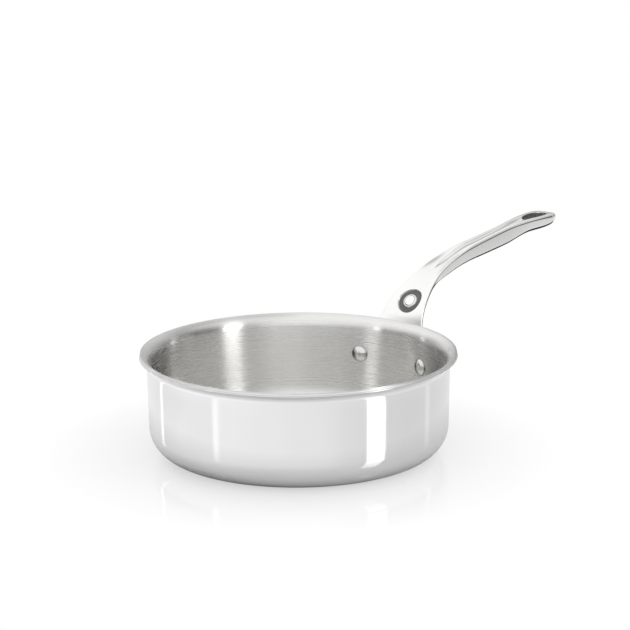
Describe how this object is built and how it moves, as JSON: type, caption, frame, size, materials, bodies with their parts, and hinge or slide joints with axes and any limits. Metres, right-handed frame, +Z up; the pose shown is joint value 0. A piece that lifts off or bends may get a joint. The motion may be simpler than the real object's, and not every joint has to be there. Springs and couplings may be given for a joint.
{
  "type": "saute pan",
  "caption": "Straight-sided clad steel saute pan with a flared pouring lip and a long curved cast handle riveted to the wall, with a hanging hole.",
  "frame": {"origin": "centre of the base, on the surface that the pan stands on", "axes": "+Z up along the vessel's axis, +X along the handle away from the vessel, +Y to the left of someone looking along the handle from the vessel"},
  "size_m": [0.4423, 0.244, 0.1393],
  "materials": {
    "polished_steel": "mirror polished stainless steel",
    "brushed_inside": "stainless steel, brushed round the axis",
    "bond_alloy": "rolled aluminium alloy, cut edge shows at the rim",
    "core_aluminium": "rolled pure aluminium, cut edge shows at the rim",
    "cast_steel": "cast stainless steel, polished",
    "rivet_steel": "polished stainless steel"
  },
  "bodies": {
    "root": {"outer_steel_ply": "polished_steel", "outer_bond_ply": "bond_alloy", "aluminium_core": "core_aluminium", "inner_bond_ply": "bond_alloy", "inner_steel_ply": "brushed_inside", "handle": "cast_steel", "rivet_right": "rivet_steel", "rivet_left": "rivet_steel"}
  },
  "joints": []
}
